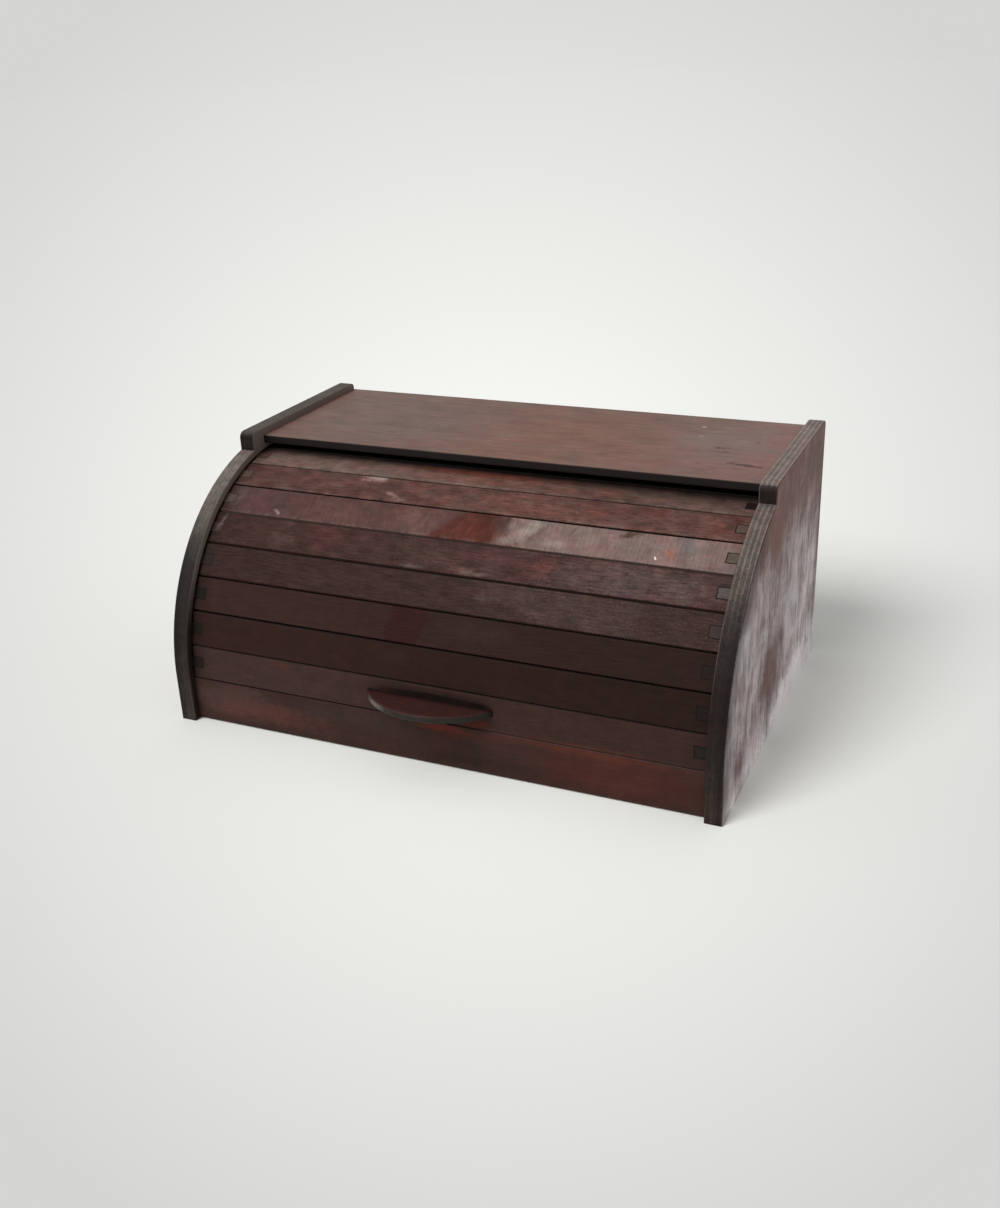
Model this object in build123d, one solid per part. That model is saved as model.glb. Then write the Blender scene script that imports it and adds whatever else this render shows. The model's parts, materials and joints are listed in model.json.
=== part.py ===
"""Plywood bread box with a roll-up front.

Two sides with a curved front edge carry a top board, a bottom board, a back board and a low front rail.
The door is a row of flat slats on a canvas backing. A hardwood runner is let into each end of every slat
and runs in a curved groove in the side, so the door slides up and back under the top board.

Millimetres, +Z up, the front towards -Y. The floor is z = 0 and x = 0 is halfway between the sides.
While it is drawn, y = 0 is the front of the sides. At the end everything moves back so that the origin
is the middle of the footprint, handle included.
"""

import os
from math import atan, cos, degrees, radians, sin, sqrt, tan

from build123d import *

# Boards
box_width = 400.0  # over the outer faces of the sides
side_thickness = 12.0
top_thickness = 6.0
bottom_thickness = 6.0
back_thickness = 6.0
rail_thickness = 12.0

# Outline of the sides
curve_radius = 140.0  # curved front edge, from the floor side of the door up to the nose
curve_centre_height = 33.0  # centre of the curve above the floor
nose_ahead = 30.0  # the nose stands this far in front of the curve's highest point
nose_round = 5.0
back_corner_round = 3.0
side_edge_chamfer = 0.6

# Slats of the door
slat_count = 9
slat_width = 23.4
slat_thickness = 6.0
slat_gap = 0.4  # between two slats where they meet the canvas
slat_inset = 5.0  # from the sides' curved edge in to the slats' outer corners
slat_end_gap = 0.8  # from a slat's end to the side
slat_edge_round = 0.5

# Runners in the slat ends, and their groove
runner_width = 8.0
runner_inlay = 8.0  # length let into the slat
runner_tip_gap = 0.5  # from a runner's tip to the floor of its groove
runner_tip_chamfer = 0.6
groove_depth = 5.0
groove_gap = 0.4  # round the runner, across the groove

# Canvas glued behind the slats
canvas_thickness = 0.6
canvas_end_margin = 14.0  # from the slat ends
canvas_edge_margin = 2.0  # from the door's first and last edge

# Half-moon handle on the first slat
handle_chord = 92.6
handle_reach = 27.5  # out from the slat's face
handle_thickness = 5.0
handle_above_middle = 1.0  # above the middle line of the slat
handle_rim_round = 1.6
handle_tongue_depth = 2.0  # let into the slat
handle_tongue_shoulder = 6.0  # from the tongue's end to the handle's point

# Screws that hold the handle from inside the door
screw_diameter = 2.5
screw_length = 16.0
screw_head_diameter = 4.7
screw_head_height = 1.3
screw_spacing = 50.0

# How the boards sit
top_recess = 5.0  # from the tops of the sides down to the top board
top_setback = 14.0  # from the nose back to the top board's front edge
top_air = 4.0  # between the top board and the slats that slide under it
top_housing = 4.0  # depth of the top board's housing in a side
top_front_round = 1.0
bottom_lift = 6.0  # underside of the bottom board above the floor
bottom_housing = 4.0  # depth of its housing in the sides
bottom_tongue = 4.0  # depth of its groove in the rail
floor_gap = 1.0  # under the rail and the back board
rail_edge_round = 0.5
back_rebate = 6.0  # how far the back board goes into each side
joint_gap = 0.1  # glue line round everything that is housed

# Travel of the door, which sets how deep the box is
door_travel = 50.0  # degrees about the curve's centre
open_door_gap = 3.0  # from the last slat to the back board when the door is fully open

# Dowels between the rail and the sides
dowel_diameter = 6.0
dowel_in_side = 8.0
dowel_in_rail = 14.0
dowel_chamfer = 0.8

# Brads in the back board, cut from flat wire with a T-shaped head
brad_width = 1.3
brad_thickness = 1.1
brad_length = 20.0
brad_head_width = 2.1
brad_head_depth = 0.5
brad_end_margin = 14.0  # from the top and bottom of the back board
brad_groove_margin = 9.0  # from the runners' groove
bottom_brad_spacing = 120.0
bottom_brad_count = 3
pin_gap = 0.05  # round dowels, screws and brads

# Places that follow from the sizes
inner_x = box_width / 2 - side_thickness
centre_y = curve_radius
centre_z = curve_centre_height
nose_y = centre_y - nose_ahead
slat_radius = curve_radius - slat_inset
face_distance = sqrt(slat_radius**2 - (slat_width / 2) ** 2)  # curve's centre to a slat's outer face
canvas_distance = face_distance - slat_thickness  # and to its inner face
half_pitch = degrees(atan((slat_width + slat_gap) / 2 / canvas_distance))
slat_half_length = inner_x - slat_end_gap
runner_tip_x = inner_x + groove_depth - runner_tip_gap
door_end_angle = 2 * half_pitch * slat_count
back_y = centre_y - slat_radius * cos(radians(door_end_angle + door_travel)) + open_door_gap
box_depth = back_y + back_thickness
top_underside = centre_z + slat_radius + top_air
top_face = top_underside + top_thickness
box_height = top_face + top_recess
top_front = nose_y + top_setback
rail_front = centre_y - slat_radius
rail_back = rail_front + rail_thickness
rail_top = centre_z
bottom_top = bottom_lift + bottom_thickness
bottom_front = rail_back - bottom_tongue
groove_inner_radius = canvas_distance - groove_gap
groove_outer_radius = sqrt(face_distance**2 + (runner_width / 2) ** 2) + groove_gap


def block(x_span, y_span, z_span):
    """Box between a low and a high limit on each axis."""
    spans = (x_span, y_span, z_span)
    middle = [(low + high) / 2 for low, high in spans]
    return Pos(*middle) * Box(*[high - low for low, high in spans])


def on_curve(angle, shape):
    """Swing a shape up round the front by an angle in degrees.

    The shape is drawn level: the curve's centre is its origin and the front is towards -Y.
    """
    return Pos(0, centre_y, centre_z) * Rot(-angle, 0, 0) * shape


def slat_angle(index):
    """Angle of the middle of slat 1, 2, 3 ... above the level of the curve's centre."""
    return (2 * index - 1) * half_pitch


def curve_point(angle, distance, offset):
    """Point (y, z) at a distance out from the curve's centre and an offset up along the slat."""
    sine = sin(radians(angle))
    cosine = cos(radians(angle))
    return (
        centre_y - distance * cosine + offset * sine,
        centre_z + distance * sine + offset * cosine,
    )


def dowel_pins(gap=0.0):
    """The two dowels at the right end of the rail, or their holes if there is a gap."""
    length = dowel_in_side + dowel_in_rail + 2 * gap
    pin = Rot(0, 90, 0) * Cylinder(dowel_diameter / 2 + gap, length)
    if gap == 0:
        pin = chamfer(pin.edges().filter_by(GeomType.CIRCLE), dowel_chamfer)
    pin_x = inner_x + (dowel_in_side - dowel_in_rail) / 2
    pin_y = (rail_front + rail_back) / 2
    room = rail_top - bottom_top
    heights = (bottom_top + room / 4, rail_top - room / 4)
    return [Pos(pin_x, pin_y, height) * pin for height in heights]


def groove_height(radius, y):
    """Height at which one wall of the groove passes y, or the centre's level where it stops short of y."""
    return centre_z + sqrt(max(radius**2 - (y - centre_y) ** 2, 0))


def brad_places():
    """Where the brads go through the back board, as (x, z): up each side, then into the bottom board."""
    edge_x = inner_x + back_rebate / 2
    heights = (
        floor_gap + brad_end_margin,
        groove_height(groove_inner_radius, back_y) - brad_groove_margin,
        groove_height(groove_outer_radius, box_depth - brad_length) + brad_groove_margin,
        top_underside - brad_end_margin,
    )
    up_the_sides = [(side * edge_x, height) for side in (-1, 1) for height in heights]
    first_x = -bottom_brad_spacing * (bottom_brad_count - 1) / 2
    along_the_bottom = [
        (first_x + number * bottom_brad_spacing, bottom_lift + bottom_thickness / 2)
        for number in range(bottom_brad_count)
    ]
    return up_the_sides + along_the_bottom


def brad_pins(gap=0.0):
    """All the brads, flush with the back, or their holes if there is a gap."""
    half_shank = brad_width / 2 + gap
    half_head = brad_head_width / 2 + gap
    half_wire = brad_thickness / 2 + gap
    pin = block((-half_shank, half_shank), (-brad_length - gap, 0), (-half_wire, half_wire))
    pin += block((-half_head, half_head), (-brad_head_depth - gap, 0), (-half_wire, half_wire))
    return [Pos(x, box_depth, z) * pin for x, z in brad_places()]


def side_outline():
    """Outline of a side, drawn with y across and z up."""
    curve_top = centre_z + sqrt(curve_radius**2 - nose_ahead**2)
    nose_sweep = degrees(atan((curve_top - centre_z) / nose_ahead))
    edges = Polyline(
        (0, centre_z),
        (0, 0),
        (box_depth, 0),
        (box_depth, box_height),
        (nose_y, box_height),
        (nose_y, curve_top),
    )
    edges += CenterArc((centre_y, centre_z), curve_radius, 180, -nose_sweep)
    face = make_face(edges)
    nose_corner, back_corner = face.vertices().group_by(Axis.Y)[-1].sort_by(Axis.X)
    face = fillet(nose_corner, nose_round)
    back_corner = face.vertices().group_by(Axis.Y)[-1].sort_by(Axis.X)[-1]
    return fillet(back_corner, back_corner_round)


def runner_groove():
    """Curved groove for the runners: a rounded end at the front, run out through the side's back edge."""
    middle_radius = (groove_inner_radius + groove_outer_radius) / 2
    width = groove_outer_radius - groove_inner_radius
    start = half_pitch - degrees((runner_width / 2 + groove_gap) / middle_radius)
    path = CenterArc((centre_y, centre_z), middle_radius, 180 - start, start - 180)
    return extrude(Plane.YZ.offset(inner_x) * SlotArc(path, width), groove_depth)


def right_side():
    """Right side with its groove, housings, rebate and holes on the inner face."""
    side = extrude(Plane.YZ.offset(inner_x) * side_outline(), side_thickness)
    inner_edges, outer_edges = side.edges().group_by(Axis.X)[0], side.edges().group_by(Axis.X)[-1]
    all_but_lower = inner_edges.sort_by(Axis.Z)[1:] + outer_edges.sort_by(Axis.Z)[1:]
    side = chamfer(all_but_lower, side_edge_chamfer)
    side -= runner_groove()
    side -= block(
        (inner_x, inner_x + top_housing),
        (top_front - joint_gap, box_depth),
        (top_underside - joint_gap, top_face + joint_gap),
    )
    side -= block(
        (inner_x, inner_x + bottom_housing),
        (bottom_front - joint_gap, box_depth),
        (bottom_lift - joint_gap, bottom_top + joint_gap),
    )
    side -= block((inner_x, inner_x + back_rebate), (back_y, box_depth), (0, top_underside))
    for hole in dowel_pins(pin_gap) + brad_pins(pin_gap):
        side -= hole
    return side


def top_board():
    """Top board, its ends in the sides' housings, its front edge eased."""
    end_x = inner_x + top_housing - joint_gap
    board = block((-end_x, end_x), (top_front, box_depth), (top_underside, top_face))
    return fillet(board.edges().filter_by(Axis.X).group_by(Axis.Y)[0], top_front_round)


def bottom_board():
    """Bottom board, from the groove in the rail to the back board."""
    end_x = inner_x + bottom_housing - joint_gap
    board = block((-end_x, end_x), (bottom_front, back_y), (bottom_lift, bottom_top))
    for hole in brad_pins(pin_gap):
        board -= hole
    return board


def back_board():
    """Back board in the sides' rebates, under the top board."""
    end_x = inner_x + back_rebate - joint_gap
    board = block((-end_x, end_x), (back_y, box_depth), (floor_gap, top_underside - joint_gap))
    for hole in brad_pins(pin_gap):
        board -= hole
    return board


def front_rail():
    """Rail below the door, with the bottom board's groove and the dowel holes."""
    rail = block((-inner_x, inner_x), (rail_front, rail_back), (floor_gap, rail_top))
    rail = fillet(rail.edges().filter_by(Axis.X).group_by(Axis.Y)[0], rail_edge_round)
    rail -= block(
        (-inner_x, inner_x),
        (bottom_front - joint_gap, rail_back),
        (bottom_lift - joint_gap, bottom_top + joint_gap),
    )
    for hole in dowel_pins(pin_gap):
        rail -= hole
        rail -= mirror(hole, about=Plane.YZ)
    return rail


def handle_screws(gap=0.0):
    """Countersunk screws from the first slat's inner face into the handle, or their holes."""
    shank_radius = screw_diameter / 2 + gap
    head_radius = screw_head_diameter / 2 + gap
    hung = (Align.CENTER, Align.CENTER, Align.MAX)
    pin = Cylinder(shank_radius, screw_length + gap, align=hung)
    pin += Cone(shank_radius, head_radius, screw_head_height, align=hung)
    pin = Pos(0, -canvas_distance, handle_above_middle) * Rot(-90, 0, 0) * pin
    return [on_curve(slat_angle(1), Pos(side * screw_spacing / 2, 0, 0) * pin) for side in (-1, 1)]


def door_handle():
    """Half-moon plate square to the first slat, with a tongue let into it."""
    half_chord = handle_chord / 2
    rim = ThreePointArc(
        (-half_chord, -face_distance),
        (0, -face_distance - handle_reach),
        (half_chord, -face_distance),
    )
    plate = extrude(make_face(rim + Line(rim @ 1, rim @ 0)), handle_thickness)
    plate = fillet(plate.edges().filter_by(GeomType.CIRCLE), handle_rim_round)
    tongue_x = half_chord - handle_tongue_shoulder
    tongue = block(
        (-tongue_x, tongue_x),
        (-face_distance, -face_distance + handle_tongue_depth),
        (0, handle_thickness),
    )
    handle = Pos(0, 0, handle_above_middle - handle_thickness / 2) * (plate + tongue)
    handle = on_curve(slat_angle(1), handle)
    for hole in handle_screws(pin_gap):
        handle -= hole
    return handle


def handle_housing():
    """Cut in the first slat for the handle's tongue."""
    end_x = handle_chord / 2 - handle_tongue_shoulder + joint_gap
    half_height = handle_thickness / 2 + joint_gap
    cut = block(
        (-end_x, end_x),
        (-face_distance, -face_distance + handle_tongue_depth + joint_gap),
        (handle_above_middle - half_height, handle_above_middle + half_height),
    )
    return on_curve(slat_angle(1), cut)


def slat(index):
    """One flat slat with a notch in each end for its runner."""
    body = block(
        (-slat_half_length, slat_half_length),
        (-face_distance, -canvas_distance),
        (-slat_width / 2, slat_width / 2),
    )
    body = fillet(body.edges().filter_by(Axis.X).group_by(Axis.Y)[0], slat_edge_round)
    notch = block(
        (slat_half_length - runner_inlay - joint_gap, slat_half_length),
        (-face_distance, -canvas_distance),
        (-runner_width / 2 - joint_gap, runner_width / 2 + joint_gap),
    )
    body -= notch
    body -= mirror(notch, about=Plane.YZ)
    body = on_curve(slat_angle(index), body)
    if index == 1:
        body -= handle_housing()
        for hole in handle_screws(pin_gap):
            body -= hole
    return body


def runner(index):
    """Right-hand runner of one slat, its tip eased where it slides in the groove."""
    body = block(
        (slat_half_length - runner_inlay, runner_tip_x),
        (-face_distance, -canvas_distance),
        (-runner_width / 2, runner_width / 2),
    )
    body = chamfer(body.edges().group_by(Axis.X)[-1], runner_tip_chamfer)
    return on_curve(slat_angle(index), body)


def canvas_backing():
    """One sheet of canvas glued across the inner faces of all the slats, with a crease at each joint."""
    first_angle = slat_angle(1)
    last_angle = slat_angle(slat_count)
    edge_offset = slat_width / 2 - canvas_edge_margin
    outer = []
    inner = []
    for points, distance in ((outer, canvas_distance), (inner, canvas_distance - canvas_thickness)):
        crease_offset = distance * tan(radians(half_pitch))
        points.append(curve_point(first_angle, distance, -edge_offset))
        for index in range(1, slat_count):
            points.append(curve_point(slat_angle(index), distance, crease_offset))
        points.append(curve_point(last_angle, distance, edge_offset))
    section = Polyline(outer + inner[::-1], close=True)
    half_width = slat_half_length - canvas_end_margin
    return extrude(Plane.YZ.offset(-half_width) * make_face(section), 2 * half_width)


def all_parts():
    """Every sub-part by name, as drawn with y = 0 at the front of the sides."""
    side = right_side()
    right_dowels = dowel_pins()
    left_dowels = [mirror(pin, about=Plane.YZ) for pin in right_dowels]
    parts = {
        "left_side": mirror(side, about=Plane.YZ),
        "right_side": side,
        "top_board": top_board(),
        "bottom_board": bottom_board(),
        "back_board": back_board(),
        "front_rail": front_rail(),
        "rail_dowels": Compound(right_dowels + left_dowels),
        "back_brads": Compound(brad_pins()),
        "canvas_backing": canvas_backing(),
        "door_handle": door_handle(),
        "handle_screws": Compound(handle_screws()),
    }
    for index in range(1, slat_count + 1):
        right_runner = runner(index)
        parts[f"slat_{index}"] = slat(index)
        parts[f"right_runner_{index}"] = right_runner
        parts[f"left_runner_{index}"] = mirror(right_runner, about=Plane.YZ)
    return parts


parts = all_parts()
handle_front = parts["door_handle"].bounding_box().min.Y
middle_y = (handle_front + box_depth) / 2
os.makedirs("parts", exist_ok=True)
for name, shape in parts.items():
    export_step(Pos(0, -middle_y, 0) * shape, f"parts/{name}.step")
print(f"width {box_width:.3f}, depth with handle {box_depth - handle_front:.3f}, height {box_height:.3f}")
print(f"centre of the curve at y {centre_y - middle_y:.4f}, z {centre_z:.4f}")
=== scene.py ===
"""Dressed model of a plywood bread box with a roll-up front, a Blender add-on that is run as a script.

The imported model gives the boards, the handle, the fixings and the joint of the door. This file adds the
slats, the runners, the canvas, the finishes and the studio. Metres, +Z up, the front towards -Y.
"""

import json
import math
from functools import cache

import bmesh
import bpy
from mathutils import Matrix, Vector


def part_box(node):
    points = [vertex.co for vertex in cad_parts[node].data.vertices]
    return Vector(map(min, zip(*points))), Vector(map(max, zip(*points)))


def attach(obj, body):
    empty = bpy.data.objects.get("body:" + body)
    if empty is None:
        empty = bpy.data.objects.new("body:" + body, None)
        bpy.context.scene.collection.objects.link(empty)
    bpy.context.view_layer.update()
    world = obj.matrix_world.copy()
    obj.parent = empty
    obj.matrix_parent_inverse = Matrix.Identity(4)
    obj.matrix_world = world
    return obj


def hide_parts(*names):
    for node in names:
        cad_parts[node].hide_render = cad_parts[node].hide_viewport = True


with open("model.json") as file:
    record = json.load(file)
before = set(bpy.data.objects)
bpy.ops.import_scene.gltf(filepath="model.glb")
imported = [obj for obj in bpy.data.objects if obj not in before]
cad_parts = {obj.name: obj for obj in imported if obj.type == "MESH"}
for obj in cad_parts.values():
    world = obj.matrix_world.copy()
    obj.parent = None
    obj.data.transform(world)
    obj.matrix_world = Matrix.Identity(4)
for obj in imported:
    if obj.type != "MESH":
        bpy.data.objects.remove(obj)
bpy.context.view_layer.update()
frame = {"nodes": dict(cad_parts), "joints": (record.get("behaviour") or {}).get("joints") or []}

bl_info = {
    "name": "Roll-top bread box",
    "version": (1, 0, 0),
    "blender": (4, 5, 0),
    "location": "3D View > Sidebar > Bread box",
    "description": "Slats, runners, canvas and stained plywood for a roll-top bread box",
    "category": "Add Mesh",
}

MM = 0.001
TINY = 1e-6
X, Y, Z = range(3)
DOOR = "tambour_door"
SIDE_THICKNESS = 12 * MM
BOARD_THICKNESS = 6 * MM
BOTTOM_BOARD_FACE = 12 * MM
slide = next(joint for joint in frame["joints"] if joint["name"] == "door_slide")
slat_low, slat_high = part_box("slat_1")
runner_low, runner_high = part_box("right_runner_1")
canvas_low, canvas_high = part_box("canvas_backing")
handle_low, handle_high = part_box("door_handle")
side_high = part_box("right_side")[1]
top_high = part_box("top_board")[1]
back_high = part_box("back_board")[1]
rail_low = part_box("front_rail")[0]
# Where the camera stands, and its axes
VIEWPOINT = Vector((0.364146, -0.780875, 0.452958))
SIGHT_LINE = Vector((-0.38428, 0.82864, -0.40705))
VIEW_RIGHT = Vector((0.91368, 0.40455, -0.03901))
VIEW_DOWN = Vector((0.13234, -0.38690, -0.91257))
LAMP_PLACE = Vector((-0.3, -0.62, 0.72))


def stain(red, green, blue):
    """Linear colour from screen values between 0 and 255."""
    shares = [value / 255 for value in (red, green, blue)]
    return tuple(s / 12.92 if s <= 0.04045 else ((s + 0.055) / 1.055) ** 2.4 for s in shares)


def size_field(name, description, default):
    return bpy.props.FloatProperty(
        name=name,
        description=description,
        default=default,
        min=0,
        precision=5,
        unit="LENGTH",
        subtype="DISTANCE",
    )


def colour_field(name, description, red, green, blue):
    tone = stain(red, green, blue)
    return bpy.props.FloatVectorProperty(
        name=name, description=description, default=tone, size=3, min=0, max=1, subtype="COLOR"
    )


class BreadBoxDoor(bpy.types.PropertyGroup):
    """Sizes of the roll-up door."""

    slat_count: bpy.props.IntProperty(name="Slats", description="Number of slats", default=9, min=1)
    slat_length: size_field("Slat length", "Length of a slat, without its runners", slat_high.x - slat_low.x)
    slat_width: size_field("Slat width", "Width of a slat", 23.4 * MM)
    slat_thickness: size_field("Slat thickness", "Thickness of a slat", 6 * MM)
    slat_gap: size_field("Slat gap", "Gap between two slats at the canvas", 0.4 * MM)
    edge_round: size_field("Edge round", "Rounding of a slat's outer edges", 0.5 * MM)
    face_distance: size_field("Face distance", "From the centre of the curve to a slat's face", 134.492 * MM)
    curve_centre: bpy.props.FloatVectorProperty(
        name="Curve centre",
        description="Point that the door turns about",
        default=slide["pos_m"],
        size=3,
        unit="LENGTH",
        subtype="XYZ",
    )
    looseness: size_field("Looseness", "How far a slat may stand out of line", 0.12 * MM)
    seed: bpy.props.IntProperty(name="Seed", description="Seed of the slats' looseness", default=4, min=0)
    runner_width: size_field("Runner width", "Width of a runner", 8 * MM)
    runner_inlay: size_field("Runner inlay", "Length of a runner inside its slat", 8 * MM)
    runner_gap: size_field("Runner gap", "Glue line between a runner and its slat", 0.2 * MM)
    runner_chamfer: size_field("Runner chamfer", "Chamfer round a runner's tip", 0.6 * MM)
    canvas_width: size_field("Canvas width", "Width the canvas was cut to", canvas_high.x - canvas_low.x)
    canvas_margin: size_field("Canvas margin", "From the door's first and last edge to the canvas", 2 * MM)
    canvas_thickness: size_field("Canvas thickness", "Thickness of the canvas", 0.5 * MM)


class BreadBoxFinish(bpy.types.PropertyGroup):
    """Colours of the stained plywood and of the other materials."""

    wear_red: colour_field("Rubbed red", "Stain where it has worn to the red wood", 112, 58, 48)
    # Pale colour of worn slat edges, also drawn as their painted highlight
    worn_and_highlighted_edge: colour_field("Rubbed edges", "Pale rubbed edges and flecks of the slats", 136, 118, 110)
    glue: colour_field("Glue line", "Dark lines between plies and round the runners", 24, 19, 18)
    # Painted shade: the dark colour given to plywood edges that face the front
    shaded_edge: colour_field("Low edges", "Board edges that face the front, dark from handling", 34, 27, 24)
    # Painted light: these two ply colours are drawn only where an edge faces up
    ply_dark: colour_field("Dark ply", "Plies that show end grain on an upper edge", 92, 82, 78)
    ply_pale: colour_field("Pale ply", "Plies that show long grain on an upper edge", 114, 104, 99)
    side_tone: colour_field("Sides", "Stain on the outer faces of the sides", 98, 67, 64)
    # Bloom on the old varnish, also drawn as the painted reflection on the sides
    side_bloom_and_sheen: colour_field("Haze on the sides", "Pale bloom on their old varnish", 246, 238, 239)
    inside_tone: colour_field("Inside", "Thin stain on the inner faces", 74, 50, 42)
    top_tone: colour_field("Top board", "Stain on the top board", 112, 85, 75)
    rail_tone: colour_field("Rail", "Stain on the front rail", 52, 35, 31)
    handle_tone: colour_field("Handle", "Stain on the handle", 60, 34, 31)
    handle_rim: colour_field("Handle rim", "Rubbed edge of the handle", 43, 38, 33)
    canvas_tone: colour_field("Canvas", "Unbleached canvas", 176, 160, 134)
    glued_canvas: colour_field("Glued canvas", "Side of the canvas glued to the slats", 34, 26, 23)
    beech_tone: colour_field("Beech", "Dowels", 196, 158, 116)
    steel_tone: colour_field("Steel", "Screws and brads", 150, 148, 145)


class BreadBoxStage(bpy.types.PropertyGroup):
    """Floor, room, lamp and camera."""

    floor_middle: colour_field("Floor middle", "Floor round the box", 245, 246, 241)
    floor_edge: colour_field("Floor edge", "Floor and backdrop far from the box", 213, 213, 212)
    floor_radius: size_field("Floor radius", "Radius of the floor", 12.0)
    surround: bpy.props.FloatProperty(
        name="Surround", description="Brightness of the pale room round the box", default=0.5, min=0
    )
    lamp_strength: bpy.props.FloatProperty(
        name="Lamp strength", description="Strength of the large soft lamp", default=2.2, min=0
    )
    lamp_spread: bpy.props.FloatProperty(
        name="Lamp spread",
        description="Angle that the lamp covers as seen from the box",
        default=math.radians(32),
        min=0,
        max=math.pi,
        subtype="ANGLE",
    )
    lens: bpy.props.FloatProperty(
        name="Lens", description="Focal length", default=39.01, min=1, unit="CAMERA"
    )


# Meshes


def new_piece(name, mesh):
    """Object at the origin that holds a mesh whose place is in its points."""
    piece = bpy.data.objects.new(name, mesh)
    bpy.context.scene.collection.objects.link(piece)
    return piece


def mesh_of(shape, name, turn_outwards=True):
    """Mesh from a bmesh, with its faces turned outwards where it is a solid. The bmesh is freed."""
    if turn_outwards:
        bmesh.ops.recalc_face_normals(shape, faces=shape.faces)
    mesh = bpy.data.meshes.new(name)
    shape.to_mesh(mesh)
    shape.free()
    return mesh


def extruded(outline, front_y, back_y):
    """Closed bmesh of an outline of (x, z) points between two y."""
    shape = bmesh.new()
    front = [shape.verts.new((x, front_y, z)) for x, z in outline]
    back = [shape.verts.new((x, back_y, z)) for x, z in outline]
    shape.faces.new(front)
    shape.faces.new(back[::-1])
    for index, point in enumerate(front):
        before = index - 1
        shape.faces.new((front[before], back[before], back[index], point))
    return shape


def slat_blank(door):
    """One slat drawn level, with the centre of the curve as origin and a notch for a runner in each end."""
    end = door.slat_length / 2
    edge = door.slat_width / 2
    notch_x = end - door.runner_inlay - door.runner_gap
    notch_z = door.runner_width / 2 + door.runner_gap
    notch = [(end, -notch_z), (notch_x, -notch_z), (notch_x, notch_z), (end, notch_z)]
    half = [(-end, -edge), (end, -edge), *notch]
    front_y = -door.face_distance
    shape = extruded(half + [(-x, -z) for x, z in half], front_y, front_y + door.slat_thickness)
    rim = [e for e in shape.edges if all(abs(v.co.y - front_y) < TINY for v in e.verts)]
    long_edges = [e for e in rim if e.calc_length() > door.slat_width]
    bmesh.ops.bevel(shape, geom=long_edges, offset=door.edge_round, segments=4, profile=0.5, affect="EDGES")
    return mesh_of(shape, "slat_blank")


def runner_blank(door):
    """The two runners of one slat, drawn level."""
    shape = bmesh.new()
    inner = door.slat_length / 2 - door.runner_inlay
    middle_x = (inner + runner_high.x) / 2
    middle_y = -door.face_distance + door.slat_thickness / 2
    size = (runner_high.x - inner, door.slat_thickness, door.runner_width)
    for side in (-1, 1):
        place = Matrix.Translation((side * middle_x, middle_y, 0)) @ Matrix.Diagonal((*size, 1))
        made = bmesh.ops.create_cube(shape, size=1, matrix=place)
        tip = [
            e
            for e in {e for v in made["verts"] for e in v.link_edges}
            if all(abs(v.co.x - side * runner_high.x) < TINY for v in e.verts)
        ]
        bmesh.ops.bevel(shape, geom=tip, offset=door.runner_chamfer, segments=2, profile=0.5, affect="EDGES")
    return mesh_of(shape, "runner_blank")


def half_pitch(door):
    """Half the angle from one slat to the next, in radians."""
    return math.atan((door.slat_width + door.slat_gap) / 2 / (door.face_distance - door.slat_thickness))


CANVAS_COLUMNS = 48
CANVAS_STEPS = 9
# Distance between the slats' inner faces and the canvas
GLUE_GAP = 0.05 * MM
THREAD = 0.9 * MM
CANVAS_RELIEF = 0.3 * MM


def cloth_line(door):
    """Points of the canvas from its lower to its upper edge, along the inner faces of the slats."""
    half = half_pitch(door)
    distance = door.face_distance - door.slat_thickness - GLUE_GAP
    crease = distance * math.tan(half)
    reach = door.slat_width / 2 - door.canvas_margin
    line = []
    for index in range(door.slat_count):
        angle = (2 * index + 1) * half
        middle = Vector(door.curve_centre) + Vector((0, -math.cos(angle), math.sin(angle))) * distance
        upward = Vector((0, math.sin(angle), math.cos(angle)))
        low = -reach if index == 0 else -crease
        high = reach if index == door.slat_count - 1 else crease
        for step in range(CANVAS_STEPS):
            line.append(middle + upward * (low + (high - low) * (step / CANVAS_STEPS)))
    return [*line, middle + upward * high]


def cloth_mesh(line, run, width):
    """Canvas without thickness along a line, with each corner's place on the flat cloth in its map."""
    shape = bmesh.new()
    cloth_map = shape.loops.layers.uv.new("cloth")
    shares = [column / CANVAS_COLUMNS - 0.5 for column in range(CANVAS_COLUMNS + 1)]
    offsets = [Vector((width * share, 0, 0)) for share in shares]
    rows = [[shape.verts.new(point + offset) for offset in offsets] for point in line]
    for row in range(len(rows) - 1):
        for column in range(CANVAS_COLUMNS):
            corners = ((row, column), (row, column + 1), (row + 1, column + 1), (row + 1, column))
            face = shape.faces.new([rows[level][place] for level, place in corners])
            face.smooth = True
            for loop, (level, place) in zip(face.loops, corners):
                loop[cloth_map].uv = (width * place / CANVAS_COLUMNS, run[level])
    return mesh_of(shape, "canvas", turn_outwards=False)


# Nodes


def reckoning(kind, swapped=False):
    """Method that adds a math node of one kind, for an operator of a Value."""

    def method(self, other=0.0):
        first, second = (other, self) if swapped else (self, other)
        return self.wires.math(kind, first, second)

    return method


class Value:
    """Output of a node. Reckoning with it adds math nodes to its tree."""

    def __init__(self, wires, socket):
        self.wires = wires
        self.socket = socket

    __add__ = reckoning("ADD")
    __sub__ = reckoning("SUBTRACT")
    __rsub__ = reckoning("SUBTRACT", swapped=True)
    __mul__ = reckoning("MULTIPLY")
    __truediv__ = reckoning("DIVIDE")
    __abs__ = reckoning("ABSOLUTE")
    __gt__ = reckoning("GREATER_THAN")

    def between(self, low, high, to_low=0.0, to_high=1.0, smooth=True):
        """Value that goes from to_low to to_high while this one goes from low to high."""
        feeds = {0: self, 1: low, 2: high, 3: to_low, 4: to_high}
        kind = "SMOOTHSTEP" if smooth else "LINEAR"
        return self.wires.value("ShaderNodeMapRange", feeds, interpolation_type=kind)


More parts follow.
